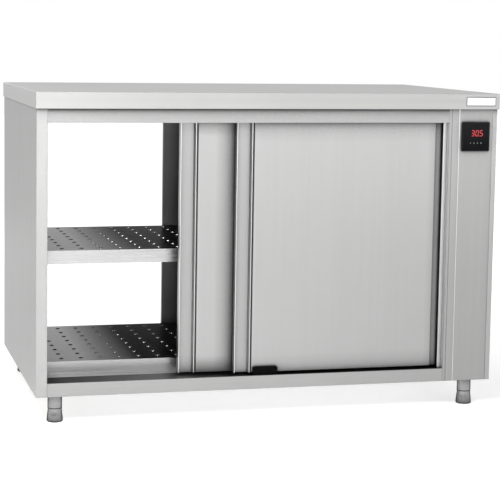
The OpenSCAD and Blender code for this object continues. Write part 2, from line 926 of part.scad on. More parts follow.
// One straight stretch along an axis, from a to b
module stretch(a, b) {
    d = b - a;
    turn = d.x != 0 ? [0, sign(d.x) * 90, 0] : d.y != 0 ? [-sign(d.y) * 90, 0, 0] : [d.z < 0 ? 180 : 0, 0, 0];
    translate(a) rotate(turn) cylinder(r = loom_r, h = norm(d));
}

module lead(points) {
    last = len(points) - 1;
    way = [for (i = [0 : last - 1]) (points[i + 1] - points[i]) / norm(points[i + 1] - points[i])];
    for (i = [0 : last - 1])
        stretch(points[i] + (i > 0 ? loom_bend : 0) * way[i],
                points[i + 1] - (i < last - 1 ? loom_bend : 0) * way[i]);
    for (i = [1 : last - 1]) loom_corner(points[i], way[i - 1], way[i]);
}

module wiring() {
    color("dimgray") {
        lead(loom_points());
        lead(lead_points());
    }
}

// The gland that the mains cable comes in through
gland_out = overhang_front - fit;
gland_flange_r = 12;
gland_flange_t = 3.5;

module cable_gland() {
    y = -face_y;
    length = gland_out + sheet + gland_in;
    color(black) difference() {
        union() {
            turned(column_mid, y - sheet - gland_in, gland_z) cylinder(r = gland_body_r, h = length);
            turned(column_mid, y, gland_z) cylinder(r = gland_flange_r, h = gland_flange_t, $fn = 6);
            turned(column_mid, y - sheet - gland_flange_t, gland_z)
                cylinder(r = gland_flange_r, h = gland_flange_t, $fn = 6);
        }
        turned(column_mid, y - sheet - gland_in - cut, gland_z) cylinder(r = gland_r, h = length + 2 * cut);
    }
}

// The screws that hold the rear service panel
screw_head_r = 4;
screw_head_t = 2.2;
screw_l = 9;

module screws() {
    color("gray") for (x = panel_screw_x, z = panel_screw_z) {
        turned(x, -face_y, z) cylinder(r = screw_head_r, h = screw_head_t);
        turned(x, -face_y - screw_l, z) cylinder(r = screw_r, h = screw_l);
    }
}

// The feet: a tube with a plate under the floor panel, and a foot that screws out of it
foot_x = top_w / 2 - foot_inset_x;
foot_y = top_d / 2 - foot_inset_y;
sleeve_z0 = foot_h - sleeve_show;
foot_plate_t = 3;
foot_plate_w = 48;
neck_step = 0.7;
stem_r = sleeve_r - sleeve_t - running;
plate_z = floor_z - sheet - foot_plate_t;

module at_foot(sx, sy) {
    translate([sx * foot_x, sy * foot_y, 0]) children();
}

module foot_sleeve() {
    difference() {
        union() {
            translate([0, 0, sleeve_z0]) cylinder(r = sleeve_r, h = plate_z - sleeve_z0);
            translate([-foot_plate_w / 2, -foot_plate_w / 2, plate_z])
                cube([foot_plate_w, foot_plate_w, foot_plate_t]);
        }
        translate([0, 0, sleeve_z0 - cut]) cylinder(r = sleeve_r - sleeve_t, h = plate_z - sleeve_z0 + cut);
    }
}

module foot_sleeves() {
    color(steel) for (sx = [-1, 1], sy = [-1, 1]) at_foot(sx, sy) foot_sleeve();
}

// The foot flares from the tube's width to its wide end on a smooth curve
flare_steps = 10;
corner_steps = 5;
neck_h = sleeve_z0 - fit;
neck_r = sleeve_r - neck_step;

function flare(t) = neck_r + (foot_r - neck_r) * (1 - cos(180 * t)) / 2;

module foot() {
    bend = neck_h - foot_round;
    color(steel) rotate_extrude() {
        polygon(concat(
            [[0, 0], [foot_r - foot_round, 0]],
            [for (i = [1 : corner_steps], a = [i * 90 / corner_steps])
                [foot_r - foot_round * (1 - sin(a)), foot_round * (1 - cos(a))]],
            [for (i = [1 : flare_steps]) [flare(1 - i / flare_steps), foot_round + bend * i / flare_steps]],
            [[stem_r, neck_h], [stem_r, neck_h + stem_l], [0, neck_h + stem_l]]
        ));
    }
}

module foot_front_left() { at_foot(-1, -1) foot(); }
module foot_front_right() { at_foot(1, -1) foot(); }
module foot_rear_left() { at_foot(-1, 1) foot(); }
module foot_rear_right() { at_foot(1, 1) foot(); }

worktop();
worktop_core();
badge_plate();
left_side_panel();
left_side_liner();
left_side_insulation();
right_side_panel();
partition_wall();
column_front_panel();
column_rear_panel();
front_post();
rear_post();
floor_panel();
ceiling_panel();
front_bottom_rail();
rear_bottom_rail();
front_top_rail();
rear_top_rail();
door_tracks();
door_guides();
shelf_brackets();
fan_plate();
fan_motor();
fan_wheel();
heater_element();
temperature_probe();
controller_case();
display_window();
terminal_block();
overheat_cutout();
wiring();
cable_gland();
screws();
foot_sleeves();
foot_front_left();
foot_front_right();
foot_rear_left();
foot_rear_right();
mid_shelf();
lower_shelf();
front_left_door_skin();
front_left_door_liner();
front_left_door_hangers();
front_left_door_roller_a();
front_left_door_roller_b();
front_right_door_skin();
front_right_door_liner();
front_right_door_hangers();
front_right_door_roller_a();
front_right_door_roller_b();
rear_left_door_skin();
rear_left_door_liner();
rear_left_door_hangers();
rear_left_door_roller_a();
rear_left_door_roller_b();
rear_right_door_skin();
rear_right_door_liner();
rear_right_door_hangers();
rear_right_door_roller_a();
rear_right_door_roller_b();
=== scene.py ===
import json
import math

import bmesh
import bpy
from mathutils import Matrix, Vector


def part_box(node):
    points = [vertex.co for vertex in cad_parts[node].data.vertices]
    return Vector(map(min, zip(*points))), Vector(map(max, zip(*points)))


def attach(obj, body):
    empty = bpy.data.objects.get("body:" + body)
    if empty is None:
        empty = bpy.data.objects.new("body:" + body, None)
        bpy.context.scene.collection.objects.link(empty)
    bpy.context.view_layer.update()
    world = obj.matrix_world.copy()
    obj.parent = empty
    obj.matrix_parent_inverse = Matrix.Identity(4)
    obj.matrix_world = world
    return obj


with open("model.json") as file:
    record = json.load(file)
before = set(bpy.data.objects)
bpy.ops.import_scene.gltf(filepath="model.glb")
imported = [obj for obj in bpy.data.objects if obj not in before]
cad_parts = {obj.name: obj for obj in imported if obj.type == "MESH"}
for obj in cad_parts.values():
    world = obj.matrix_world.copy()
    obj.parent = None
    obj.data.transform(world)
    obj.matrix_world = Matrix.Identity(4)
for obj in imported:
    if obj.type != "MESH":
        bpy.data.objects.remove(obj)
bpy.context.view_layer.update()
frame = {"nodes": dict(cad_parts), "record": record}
NODES = frame["nodes"]
MM = 0.001

DOORS = ("front_left", "front_right", "rear_left", "rear_right")
FEET = ("foot_front_left", "foot_front_right", "foot_rear_left", "foot_rear_right")


def add_object(name, data):
    obj = bpy.data.objects.new(name, data)
    bpy.context.scene.collection.objects.link(obj)
    return obj


# The camera: place in metres, angles in degrees
CAMERA_AT = (-1.1062, -4.1668, 0.968)
CAMERA_YAW = 13.92
CAMERA_PITCH = 6.01
CAMERA_ROLL = 0.79
CAMERA_LENS = 114.69
CAMERA_SENSOR = 36
CAMERA_SHIFT = (0.075, -0.10)
CAMERA_REACH = 60


def place_camera():
    yaw, pitch, roll = (math.radians(a) for a in (CAMERA_YAW, CAMERA_PITCH, CAMERA_ROLL))
    ahead = Vector((math.sin(yaw) * math.cos(pitch), math.cos(yaw) * math.cos(pitch), -math.sin(pitch)))
    level = Vector((math.cos(yaw), -math.sin(yaw), 0))
    above = level.cross(ahead)
    right = math.cos(roll) * level + math.sin(roll) * above
    up = math.cos(roll) * above - math.sin(roll) * level
    data = bpy.data.cameras.new("camera")
    data.sensor_width = CAMERA_SENSOR
    data.lens = CAMERA_LENS
    data.shift_x, data.shift_y = CAMERA_SHIFT
    data.clip_end = CAMERA_REACH
    camera = add_object("camera", data)
    turn = Matrix((right, up, -ahead)).transposed().to_4x4()
    camera.matrix_world = Matrix.Translation(CAMERA_AT) @ turn
    bpy.context.scene.camera = camera


# Materials. Grain is noise scale along X, Y and Z; a painted sheen, a painted reflection on shelves and
# rails, ends at two places along X
UPRIGHT = (700, 700, 5)
ALONG = (5, 700, 700)
CLOUD = (1.7, 1.7, 1.1)
WIDER = 1 / 9
# Painted shade in hollows: how far it reaches, how dark it gets at most, and its samples
PAINTED_SHADE_REACH = 50 * MM
PAINTED_SHADE_DARKEST = 0.1
PAINTED_SHADE_SAMPLES = 6
BRUSH_DEPTH = 0.05 * MM
SHELF_PAINTED_SHEEN = (-0.46, -0.31)
RAIL_PAINTED_SHEEN = (-0.2, -0.5)
STEEL = (0.312, 0.312, 0.31)
MATERIALS = {}


def even(scale):
    return (scale, scale, scale)


class Shade:
    """A node material that is built up from grain, tone, roughness and bump."""

    def __init__(self, name, **fixed):
        self.mat = MATERIALS[name] = bpy.data.materials.new(name)
        self.mat.use_nodes = True
        self.tree = self.mat.node_tree
        self.shader = self.tree.nodes["Principled BSDF"]
        for key, value in fixed.items():
            self.shader.inputs[key.replace("_", " ")].default_value = value

    def add(self, kind, **settings):
        node = self.tree.nodes.new(kind)
        for key, value in settings.items():
            setattr(node, key, value)
        return node

    def link(self, source, target):
        self.tree.links.new(source, target)

    def noise(self, scale, detail=2.0, distortion=0.0):
        coord = self.add("ShaderNodeTexCoord")
        mapping = self.add("ShaderNodeMapping")
        mapping.inputs["Scale"].default_value = scale
        tex = self.add("ShaderNodeTexNoise")
        tex.inputs["Scale"].default_value = 1.0
        tex.inputs["Detail"].default_value = detail
        tex.inputs["Distortion"].default_value = distortion
        self.link(coord.outputs["Object"], mapping.inputs["Vector"])
        self.link(mapping.outputs["Vector"], tex.inputs["Vector"])
        return tex.outputs["Fac"]

    def ranged(self, value, low, high, start=0.3, end=0.7):
        node = self.add("ShaderNodeMapRange")
        for key, number in (("From Min", start), ("From Max", end), ("To Min", low), ("To Max", high)):
            node.inputs[key].default_value = number
        self.link(value, node.inputs["Value"])
        return node.outputs["Result"]

    def math(self, operation, a, b):
        node = self.add("ShaderNodeMath", operation=operation)
        for socket, value in zip(node.inputs, (a, b)):
            if isinstance(value, (int, float)):
                socket.default_value = value
            else:
                self.link(value, socket)
        return node.outputs["Value"]

    def tint(self, colour, *factors):
        level = factors[0]
        for factor in factors[1:]:
            level = self.math("MULTIPLY", level, factor)
        node = self.add("ShaderNodeVectorMath", operation="SCALE")
        node.inputs[0].default_value = colour
        self.link(level, node.inputs["Scale"])
        self.link(node.outputs["Vector"], self.shader.inputs["Base Color"])

    def along_x(self, low, high, near, far):
        """A value that goes from low to high between two places along X."""
        coord = self.add("ShaderNodeTexCoord")
        place = self.add("ShaderNodeSeparateXYZ")
        self.link(coord.outputs["Object"], place.inputs["Vector"])
        return self.ranged(place.outputs["X"], low, high, near, far)

    def painted_top_sheen(self, near, far, low):
        """On faces that look up, a painted sheen (a painted reflection) that falls to low between two places
        along X.
        """
        face = self.add("ShaderNodeNewGeometry")
        normal = self.add("ShaderNodeSeparateXYZ")
        self.link(face.outputs["True Normal"], normal.inputs["Vector"])
        loss = self.along_x(0.0, 1.0 - low, near, far)
        upward = self.ranged(normal.outputs["Z"], 0, 1, 0.5, 1)
        return self.math("SUBTRACT", 1.0, self.math("MULTIPLY", loss, upward))

    def painted_hollow_shade(self, depth):
        """Painted shade: darker where other faces stand close by: seams, grooves and folds."""
        node = self.add("ShaderNodeAmbientOcclusion", samples=PAINTED_SHADE_SAMPLES)
        node.inputs["Distance"].default_value = PAINTED_SHADE_REACH
        return self.math("MAXIMUM", self.math("POWER", node.outputs["AO"], depth), PAINTED_SHADE_DARKEST)

    def roughness(self, value, low, high, **ends):
        self.link(self.ranged(value, low, high, **ends), self.shader.inputs["Roughness"])

    def bump(self, value, strength, depth):
        node = self.add("ShaderNodeBump")
        node.inputs["Strength"].default_value = strength
        node.inputs["Distance"].default_value = depth
        self.link(value, node.inputs["Height"])
        self.link(node.outputs["Normal"], self.shader.inputs["Normal"])


def brushed(name, colour, grain, rough, tone=0.025, cloud=0.03, streak=0.018, bump=0.08, edge=0.7,
            painted_shade=3.0, painted_sheen=None):
    """Brushed steel with painted shade in its hollows. A painted sheen is (near, far, lowest tone, lowest
    edge) along X.
    """
    shade = Shade(name, Metallic=1.0, Specular_Tint=(edge, edge, edge, 1))
    fine = shade.noise(grain, detail=3)
    wide = shade.noise(tuple(scale * WIDER for scale in grain), detail=2)
    soft = shade.noise(CLOUD, detail=1)
    factors = [shade.ranged(fine, 1 - tone, 1 + tone), shade.ranged(wide, 1 - streak, 1 + streak),
               shade.ranged(soft, 1 - cloud, 1 + cloud), shade.painted_hollow_shade(painted_shade)]
    # The painted sheen: the tone of upward faces and the reflection at grazing angles fall along X, a
    # painted reflection
    if painted_sheen:
        near, far, low, low_edge = painted_sheen
        factors.append(shade.painted_top_sheen(near, far, low))
        shade.link(shade.along_x(edge, low_edge, near, far), shade.shader.inputs["Specular Tint"])
    shade.tint(colour, *factors)
    shade.roughness(fine, rough - 0.05, rough + 0.07)
    shade.bump(fine, bump, BRUSH_DEPTH)


def cast(name, colour, rough, grain=400, tone=0.08, bump=0.15, depth=0.08, **fixed):
    """Moulded or painted stuff with a fine skin. The skin's depth is in millimetres."""
    shade = Shade(name, **fixed)
    fine = shade.noise(even(grain), detail=4)
    soft = shade.noise(even(14), detail=2)
    shade.tint(colour, shade.ranged(fine, 1 - tone, 1 + tone), shade.ranged(soft, 1 - tone, 1 + tone))
    shade.roughness(soft, rough - 0.06, rough + 0.06)
    shade.bump(fine, bump, depth * MM)


def glowing(name, colour, strength):
    shade = Shade(name, Roughness=0.4, Emission_Strength=strength, Emission_Color=(*colour, 1))
    fine = shade.noise(even(900), detail=2)
    shade.tint(colour, shade.ranged(fine, 0.9, 1.05))


def painted_reflection_hole_edge():
    """The edges of the shelves' holes, with a painted reflection: dark where the shelf's painted sheen is
    bright, and bright where it is dark.
    """
    shade = Shade("painted_reflection_hole_edge", Metallic=1.0, Roughness=0.3)
    fine = shade.noise(even(400), detail=2)
    shade.tint((0.42, 0.42, 0.42), shade.ranged(fine, 0.9, 1.1), shade.along_x(0.06, 1.0, *SHELF_PAINTED_SHEEN))


def galvanised():
    """Zinc: flat crystals of slightly different greys."""
    shade = Shade("galvanised", Metallic=0.9)
    coord = shade.add("ShaderNodeTexCoord")
    cells = shade.add("ShaderNodeTexVoronoi")
    cells.inputs["Scale"].default_value = 130
    shade.link(coord.outputs["Object"], cells.inputs["Vector"])
    parts = shade.add("ShaderNodeSeparateColor")
    shade.link(cells.outputs["Color"], parts.inputs["Color"])
    flake = parts.outputs["Red"]
    soft = shade.noise(even(20), detail=3)
    shade.tint((0.5, 0.52, 0.53), shade.ranged(flake, 0.86, 1.1, 0, 1), shade.ranged(soft, 0.94, 1.06))
    shade.roughness(flake, 0.34, 0.5, start=0, end=1)


def pressed_board():
    shade = Shade("board", Roughness=0.8)
    chips = shade.noise((120, 120, 400), detail=5, distortion=1.5)
    soft = shade.noise(even(9), detail=2)
    shade.tint((0.52, 0.36, 0.2), shade.ranged(chips, 0.75, 1.2), shade.ranged(soft, 0.9, 1.1))
    shade.bump(chips, 0.4, 0.3 * MM)


def mineral_wool():
    shade = Shade("insulation", Roughness=0.95)
    fibres = shade.noise((60, 900, 900), detail=6, distortion=2.5)
    soft = shade.noise(even(25), detail=3)
    shade.tint((0.6, 0.5, 0.24), shade.ranged(fibres, 0.7, 1.2), shade.ranged(soft, 0.85, 1.1))
    shade.bump(fibres, 0.6, 0.8 * MM)


def make_materials():
    brushed("worktop_steel", (0.335, 0.335, 0.332), ALONG, 0.42, edge=1.0)
    brushed("brushed_sheet", STEEL, UPRIGHT, 0.38, edge=0.85)
    brushed("post_steel", (0.275, 0.275, 0.273), UPRIGHT, 0.38, painted_shade=2)
    # A paler copy of the steel that paints highlights on rims, ribs and fold edges
    brushed("painted_highlight_steel", (0.5, 0.5, 0.5), UPRIGHT, 0.34, painted_shade=0.25)
    brushed("rail_steel", (0.288, 0.288, 0.286), ALONG, 0.38, painted_shade=6.0, painted_sheen=(*RAIL_PAINTED_SHEEN, 0.3, 0.5))
    # door_steel and channel_steel are one steel with more and with less painted shade in its hollows
    brushed("door_steel", STEEL, UPRIGHT, 0.38, streak=0.012, painted_shade=2.4)
    brushed("channel_steel", STEEL, UPRIGHT, 0.38, painted_shade=0.7)
    brushed("chamber_steel", (0.4, 0.4, 0.4), UPRIGHT, 0.4)
    # A much paler copy of the steel for the chamber's floor and ceiling, which paints light into them and
    # into what reflects them
    brushed("chamber_steel_painted_light", (0.75, 0.75, 0.75), ALONG, 0.4, painted_shade=0.7)
    brushed("shelf_steel", (0.36, 0.36, 0.36), ALONG, 0.3, edge=0.56, painted_shade=0.2,
            painted_sheen=(*SHELF_PAINTED_SHEEN, 0.36, 0.16))
    painted_reflection_hole_edge()
    brushed("polished_steel", (0.3, 0.3, 0.3), (300, 300, 900), 0.14, bump=0.03, edge=0.0, painted_shade=1.5)
    brushed("probe", (0.72, 0.72, 0.72), ALONG, 0.2)
    brushed("screw_steel", (0.6, 0.6, 0.6), even(900), 0.25)
    brushed("badge", (0.5, 0.5, 0.5), ALONG, 0.35)
    galvanised()
    cast("heater", (0.2, 0.18, 0.17), 0.6, Metallic=0.7)
    cast("motor_paint", (0.07, 0.075, 0.08), 0.45)
    cast("black_plastic", (0.003, 0.003, 0.003), 0.5, Specular_IOR_Level=0.02)
    cast("gloss_black", (0.005, 0.005, 0.006), 0.25, depth=0.02, Specular_IOR_Level=0.08)
    cast("window", (0.002, 0.002, 0.003), 0.14, depth=0.01, Specular_IOR_Level=0.05)
    cast("roller_nylon", (0.06, 0.06, 0.065), 0.5)
    cast("ivory_plastic", (0.62, 0.55, 0.4), 0.5)
    cast("cable_sheath", (0.03, 0.03, 0.032), 0.6)
    cast("outline", (0.08, 0.08, 0.08), 0.5)
    cast("rubber", (0.02, 0.02, 0.02), 0.75)
    pressed_board()
    mineral_wool()
    glowing("digits", (0.5, 0.035, 0.04), 0.6)
    glowing("icons", (0.2, 0.23, 0.22), 0.15)


# A node without a look of its own takes the one that its slot names
NODE_LOOKS = {
    "front_post": "post_steel", "rear_post": "post_steel",
    "column_front_panel": "post_steel", "column_rear_panel": "post_steel",
    "front_bottom_rail": "rail_steel", "rear_bottom_rail": "rail_steel",
    "front_top_rail": "rail_steel", "rear_top_rail": "rail_steel",
    "floor_panel": "chamber_steel_painted_light", "ceiling_panel": "chamber_steel_painted_light",
}


def dress_nodes():
    slots = {row["node"]: row["material_slot"] for row in frame["record"]["subparts"]}
    for name, obj in NODES.items():
        look = NODE_LOOKS.get(name, slots[name])
        obj.data.materials.clear()
        obj.data.materials.append(MATERIALS[look])


# Small radii on the folded sheets, in millimetres
SOFT_EDGES = {
    "worktop": 1.2, "left_side_panel": 0.8, "right_side_panel": 0.8, "column_front_panel": 0.8,
    "column_rear_panel": 0.8, "front_post": 0.8, "rear_post": 0.8, "front_top_rail": 0.6,
    "rear_top_rail": 0.6, "front_bottom_rail": 0.6, "rear_bottom_rail": 0.6, "controller_case": 0.5,
    "badge_plate": 0.3,
    **{door + "_door_skin": 0.9 for door in DOORS},
}
WELD_REACH = 0.01
BEVEL_SEGMENTS = 2
SHARP_FROM = 50


def soften(name, width):
    obj = NODES[name]
    weld = obj.modifiers.new("weld", "WELD")
    weld.merge_threshold = WELD_REACH * MM
    bevel = obj.modifiers.new("bevel", "BEVEL")
    bevel.width = width * MM
    bevel.segments = BEVEL_SEGMENTS
    bevel.limit_method = "ANGLE"
    bevel.angle_limit = math.radians(SHARP_FROM)
    bevel.use_clamp_overlap = True
    bevel.harden_normals = False


# Pieces that stand on the CAD solids
def make_piece(name, build, look, body):
    mesh = bpy.data.meshes.new(name)
    bm = bmesh.new()
    build(bm)
    bmesh.ops.recalc_face_normals(bm, faces=bm.faces)
    bm.to_mesh(mesh)
    bm.free()
    obj = add_object(name, mesh)
    mesh.materials.append(MATERIALS[look])
    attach(obj, body)
    return obj


def add_solid(bm, near, far):
    """A solid between two outlines with the same number of corners."""
    near = [bm.verts.new(corner) for corner in near]
    far = [bm.verts.new(corner) for corner in far]
    bm.faces.new(near)
    bm.faces.new(far[::-1])
    for i in range(len(near)):
        j = (i + 1) % len(near)
        bm.faces.new((near[i], near[j], far[j], far[i]))


def add_prism(bm, outline, y0, y1):
    """A prism along Y whose outline is a list of (x, z)."""
    add_solid(bm, [(x, y0, z) for x, z in outline], [(x, y1, z) for x, z in outline])


def add_column(bm, outline, z0, z1):
    """A prism along Z whose outline is a list of (x, y)."""
    add_solid(bm, [(x, y, z0) for x, y in outline], [(x, y, z1) for x, y in outline])


def rectangle(x0, x1, z0, z1):
    return [(x0, z0), (x1, z0), (x1, z1), (x0, z1)]


# The display: three digits of seven bars each, and four small marks under them
DIGITS = "305"
SEGMENTS = {"0": "abcdef", "3": "abcdg", "5": "acdfg"}
DIGIT_W = 8.6 * MM
DIGIT_H = 16 * MM
DIGIT_BAR = 1.8 * MM
DIGIT_GAP = 0.3 * MM
DIGIT_PITCH = 11.6 * MM
DIGITS_RIGHT = 3 * MM
DIGITS_DOWN = 0.37        # share of the window's height
DIGIT_LEAN = 0.1
DOT_HALF = 1.0 * MM
DOT_RIGHT = 0.52 * DIGIT_PITCH
MARKS = 4
MARK_R = 1.6 * MM
MARK_PITCH = 9.6 * MM
MARKS_DOWN = 0.74
FIRST_MARK_SIDES = 3
DISPLAY_RAISE = 0.12 * MM


def bar_outline(length, width):
    h, w = length / 2, width / 2
    return [(-h, 0), (-h + w, w), (h - w, w), (h, 0), (h - w, -w), (-h + w, -w)]


def digit_bars(digit):
    across = DIGIT_W - DIGIT_BAR - 2 * DIGIT_GAP
    up = DIGIT_H / 2 - DIGIT_BAR / 2 - 2 * DIGIT_GAP
    x, z = (DIGIT_W - DIGIT_BAR) / 2, (DIGIT_H - DIGIT_BAR) / 2
    places = {
        "a": (0, z, False), "g": (0, 0, False), "d": (0, -z, False),
        "b": (x, z / 2, True), "c": (x, -z / 2, True), "e": (-x, -z / 2, True), "f": (-x, z / 2, True),
    }
    for key in SEGMENTS[digit]:
        cx, cz, upright = places[key]
        outline = bar_outline(up if upright else across, DIGIT_BAR)
        if upright:
            outline = [(-b, a) for a, b in outline]
        yield [(cx + a + DIGIT_LEAN * (cz + b), cz + b) for a, b in outline]


def mark_outline(sides, x, z):
    turns = [2 * math.pi * i / sides for i in range(sides)]
    return [(x + MARK_R * math.sin(turn), z + MARK_R * math.cos(turn)) for turn in turns]


def make_display():
    low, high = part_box("display_window")
    middle = (low + high) / 2
    y = low.y
    digits_z = high.z - DIGITS_DOWN * (high.z - low.z)
    marks_z = high.z - MARKS_DOWN * (high.z - low.z)

    def build_digits(bm):
        for place, digit in enumerate(DIGITS):
            x = middle.x + DIGITS_RIGHT + (place - (len(DIGITS) - 1) / 2) * DIGIT_PITCH
            for outline in digit_bars(digit):
                add_prism(bm, [(x + a, digits_z + b) for a, b in outline], y - DISPLAY_RAISE, y)
        x = middle.x + DIGITS_RIGHT + DOT_RIGHT
        z = digits_z - DIGIT_H / 2
        add_prism(bm, rectangle(x - DOT_HALF, x + DOT_HALF, z, z + 2 * DOT_HALF), y - DISPLAY_RAISE, y)

    def build_marks(bm):
        for place in range(MARKS):
            x = middle.x + (place - (MARKS - 1) / 2) * MARK_PITCH
            add_prism(bm, mark_outline(FIRST_MARK_SIDES + place, x, marks_z), y - DISPLAY_RAISE, y)

    make_piece("display_digits", build_digits, "digits", "cabinet")
    make_piece("display_marks", build_marks, "icons", "cabinet")


# The dark rim that each foot stands on, and a dark seal between the foot and its tube that also
# paints the shade of that joint. The rim's corners are millimetres past the foot's edge and above the floor
FOOT_RIM = ((-2.4, 0), (-1.0, 0.5), (-0.15, 1.6), (0.25, 3.2), (-0.05, 4))
FOOT_RIM_H = 4 * MM
SEAL_R = 17.8 * MM
SEAL_BULGE = 0.3 * MM
SEAL_H = 1.6 * MM
SEAL_DROP = 0.4 * MM
RING_INNER = 0.6          # share of the foot's radius
RING_SIDES = 64


def add_ring(bm, profile, x, y, sides):
    """A closed ring round an upright axis from an outline of (radius, height)."""
    turns = [2 * math.pi * i / sides for i in range(sides)]
    rings = [[bm.verts.new((x + r * math.cos(turn), y + r * math.sin(turn), z)) for r, z in profile]
             for turn in turns]
    for i, ring in enumerate(rings):
        other = rings[(i + 1) % sides]
        for j in range(len(profile)):
            k = (j + 1) % len(profile)
            bm.faces.new((ring[j], other[j], other[k], ring[k]))


def make_foot_rings():
    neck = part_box("foot_sleeves")[0].z - SEAL_DROP
    for foot in FEET:
        low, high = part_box(foot)
        middle = (low + high) / 2
        out = (high.x - low.x) / 2
        inner = RING_INNER * out
        rim = [(inner, 0), *((out + x * MM, z * MM) for x, z in FOOT_RIM), (inner, FOOT_RIM_H)]
        joint_shade_seal = [(inner, neck - SEAL_H), (SEAL_R, neck - SEAL_H), (SEAL_R + SEAL_BULGE, neck - SEAL_H / 2),
                (SEAL_R, neck), (inner, neck)]
        for part, profile in (("rim", rim), ("joint_shade_seal", joint_shade_seal)):
            def build(bm):
                add_ring(bm, profile, middle.x, middle.y, RING_SIDES)

            ring = make_piece(foot + "_" + part, build, "rubber", foot)
            for face in ring.data.polygons:
                face.use_smooth = True


# A fine dark line round the blank plate, a painted shadow at its edges
OUTLINE_W = 0.8 * MM
OUTLINE_T = 0.2 * MM


def make_badge_painted_shadow():
    low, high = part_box("badge_plate")
    x0, x1, z0, z1 = low.x, high.x, low.z, high.z
    w = OUTLINE_W

    def build(bm):
        for side in ((x0, x1, z0, z0 + w), (x0, x1, z1 - w, z1), (x0, x0 + w, z0 + w, z1 - w),
                     (x1 - w, x1, z0 + w, z1 - w)):
            add_prism(bm, rectangle(*side), low.y - OUTLINE_T, low.y)

    make_piece("badge_painted_shadow", build, "outline", "cabinet")


# A painted highlight in a paler steel on the face of the set-back strip beside the front doors, and on the
# wall that leads to it
STRIP_W = 10 * MM
STRIP_SET_BACK = 15 * MM
STRIP_T = 0.15 * MM
STRIP_MARGIN = 0.5 * MM
STRIP_FRONT = 1.2 * MM


def make_post_strip():
    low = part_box("front_post")[0]
    rail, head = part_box("front_bottom_rail")[1].z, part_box("front_top_rail")[0].z
    back = low.y + STRIP_SET_BACK
    wall = low.x + STRIP_W

    def build(bm):
        add_prism(bm, rectangle(low.x + STRIP_MARGIN, wall - STRIP_MARGIN, rail, head), back - STRIP_T, back)
        add_prism(bm, rectangle(wall - STRIP_T, wall, rail, head), low.y + STRIP_FRONT, back - STRIP_T)

    make_piece("front_post_strip", build, "painted_highlight_steel", "cabinet")


# The folds of the doors: each door's rim, its grip channel's face, and the slope, rib and groove
# beside that. The rim and rib are painted highlights in a paler steel. Outlines run along the door
# from its edge, and inward from its face
FOLD_T = 0.15 * MM
FOLD_DEPTH = 18 * MM
RIM_W = 1.8 * MM
GRIP_END = 36 * MM
GRIP_DEPTH = 12 * MM
SLOPE_END = 39 * MM
RIB_END = 40.5 * MM
GROOVE_END = 45 * MM
GROOVE_FILL = 5 * MM
GROOVE_BACK = GROOVE_FILL + FOLD_T
GRIP_FACE = GRIP_DEPTH - FOLD_T
DOOR_RIM = [(-FOLD_T, FOLD_DEPTH), (-FOLD_T, -FOLD_T), (RIM_W, -FOLD_T), (RIM_W, 0), (0, 0), (0, FOLD_DEPTH)]
RIB = [(GRIP_END - FOLD_T, GRIP_DEPTH), (SLOPE_END - FOLD_T, -FOLD_T), (RIB_END, -FOLD_T), (RIB_END, 0),
       (SLOPE_END, 0), (GRIP_END, GRIP_DEPTH)]
DOOR_FOLDS = {
    "rim": (DOOR_RIM, "painted_highlight_steel"),
    "rib": (RIB, "painted_highlight_steel"),
    "groove": (rectangle(RIB_END, GROOVE_END, GROOVE_FILL, GROOVE_BACK), "post_steel"),
    "channel": (rectangle(RIM_W, GRIP_END, GRIP_FACE, GRIP_DEPTH), "channel_steel"),
}


def make_door_folds():
    for door in DOORS:
        low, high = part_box(door + "_door_skin")
        front = door.startswith("front")
        start = low if front else high
        way = 1 if front else -1
        for part, (outline, look) in DOOR_FOLDS.items():
            def build(bm):
                add_column(bm, [(start.x + way * x, start.y + way * y) for x, y in outline], low.z, high.z)

            make_piece(door + "_door_" + part, build, look, door + "_door")


# The edges of the holes in the shelves, which stand up a little, in a material with a painted reflection
HOLE_PITCH = (50 * MM, 58 * MM)
HOLE_MARGIN = 35 * MM
HOLE_R = 4.9 * MM
HOLE_EDGE_W = 0.8 * MM
HOLE_EDGE_LIP = 0.3 * MM
HOLE_EDGE_UP = 0.8 * MM
HOLE_EDGE_DOWN = 1.0 * MM
HOLE_SIDES = 12
ROUND_OFF = 1e-6


def hole_places(start, end, pitch):
    count = int((end - start - 2 * HOLE_MARGIN) / pitch + ROUND_OFF) + 1
    return [(start + end) / 2 + (i - (count - 1) / 2) * pitch for i in range(count)]


def make_hole_edges():
    outer = HOLE_R + HOLE_EDGE_W
    for shelf in ("mid_shelf", "lower_shelf"):
        low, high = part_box(shelf)
        base, top = high.z - HOLE_EDGE_DOWN, high.z + HOLE_EDGE_UP
        profile = [(HOLE_R, base), (outer, high.z), (outer - HOLE_EDGE_LIP, top), (HOLE_R, top)]

        def build(bm):
            for x in hole_places(low.x, high.x, HOLE_PITCH[0]):
                for y in hole_places(low.y, high.y, HOLE_PITCH[1]):
                    add_ring(bm, profile, x, y, HOLE_SIDES)

        make_piece(shelf + "_hole_edges", build, "painted_reflection_hole_edge", shelf)


# The folds on both sides of the column's face: a pale strip in each gap, and a painted highlight beside it
GAP_BACK = 1.2 * MM
EDGE_LINE_W = 1.8 * MM


def make_column_lines():
    low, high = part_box("column_front_panel")
    post_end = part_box("front_post")[1].x
    side_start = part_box("right_side_panel")[0].x
    lines = {
        "column_gap_left": (post_end, low.x, GAP_BACK, "channel_steel"),
        "column_gap_right": (high.x, side_start, GAP_BACK, "channel_steel"),
        "column_edge_left": (low.x, low.x + EDGE_LINE_W, 0, "painted_highlight_steel"),
    }
    for name, (x0, x1, back, look) in lines.items():
        def build(bm):
            add_prism(bm, rectangle(x0, x1, low.z, high.z), low.y + back - FOLD_T, low.y + back)

        make_piece(name, build, look, "cabinet")


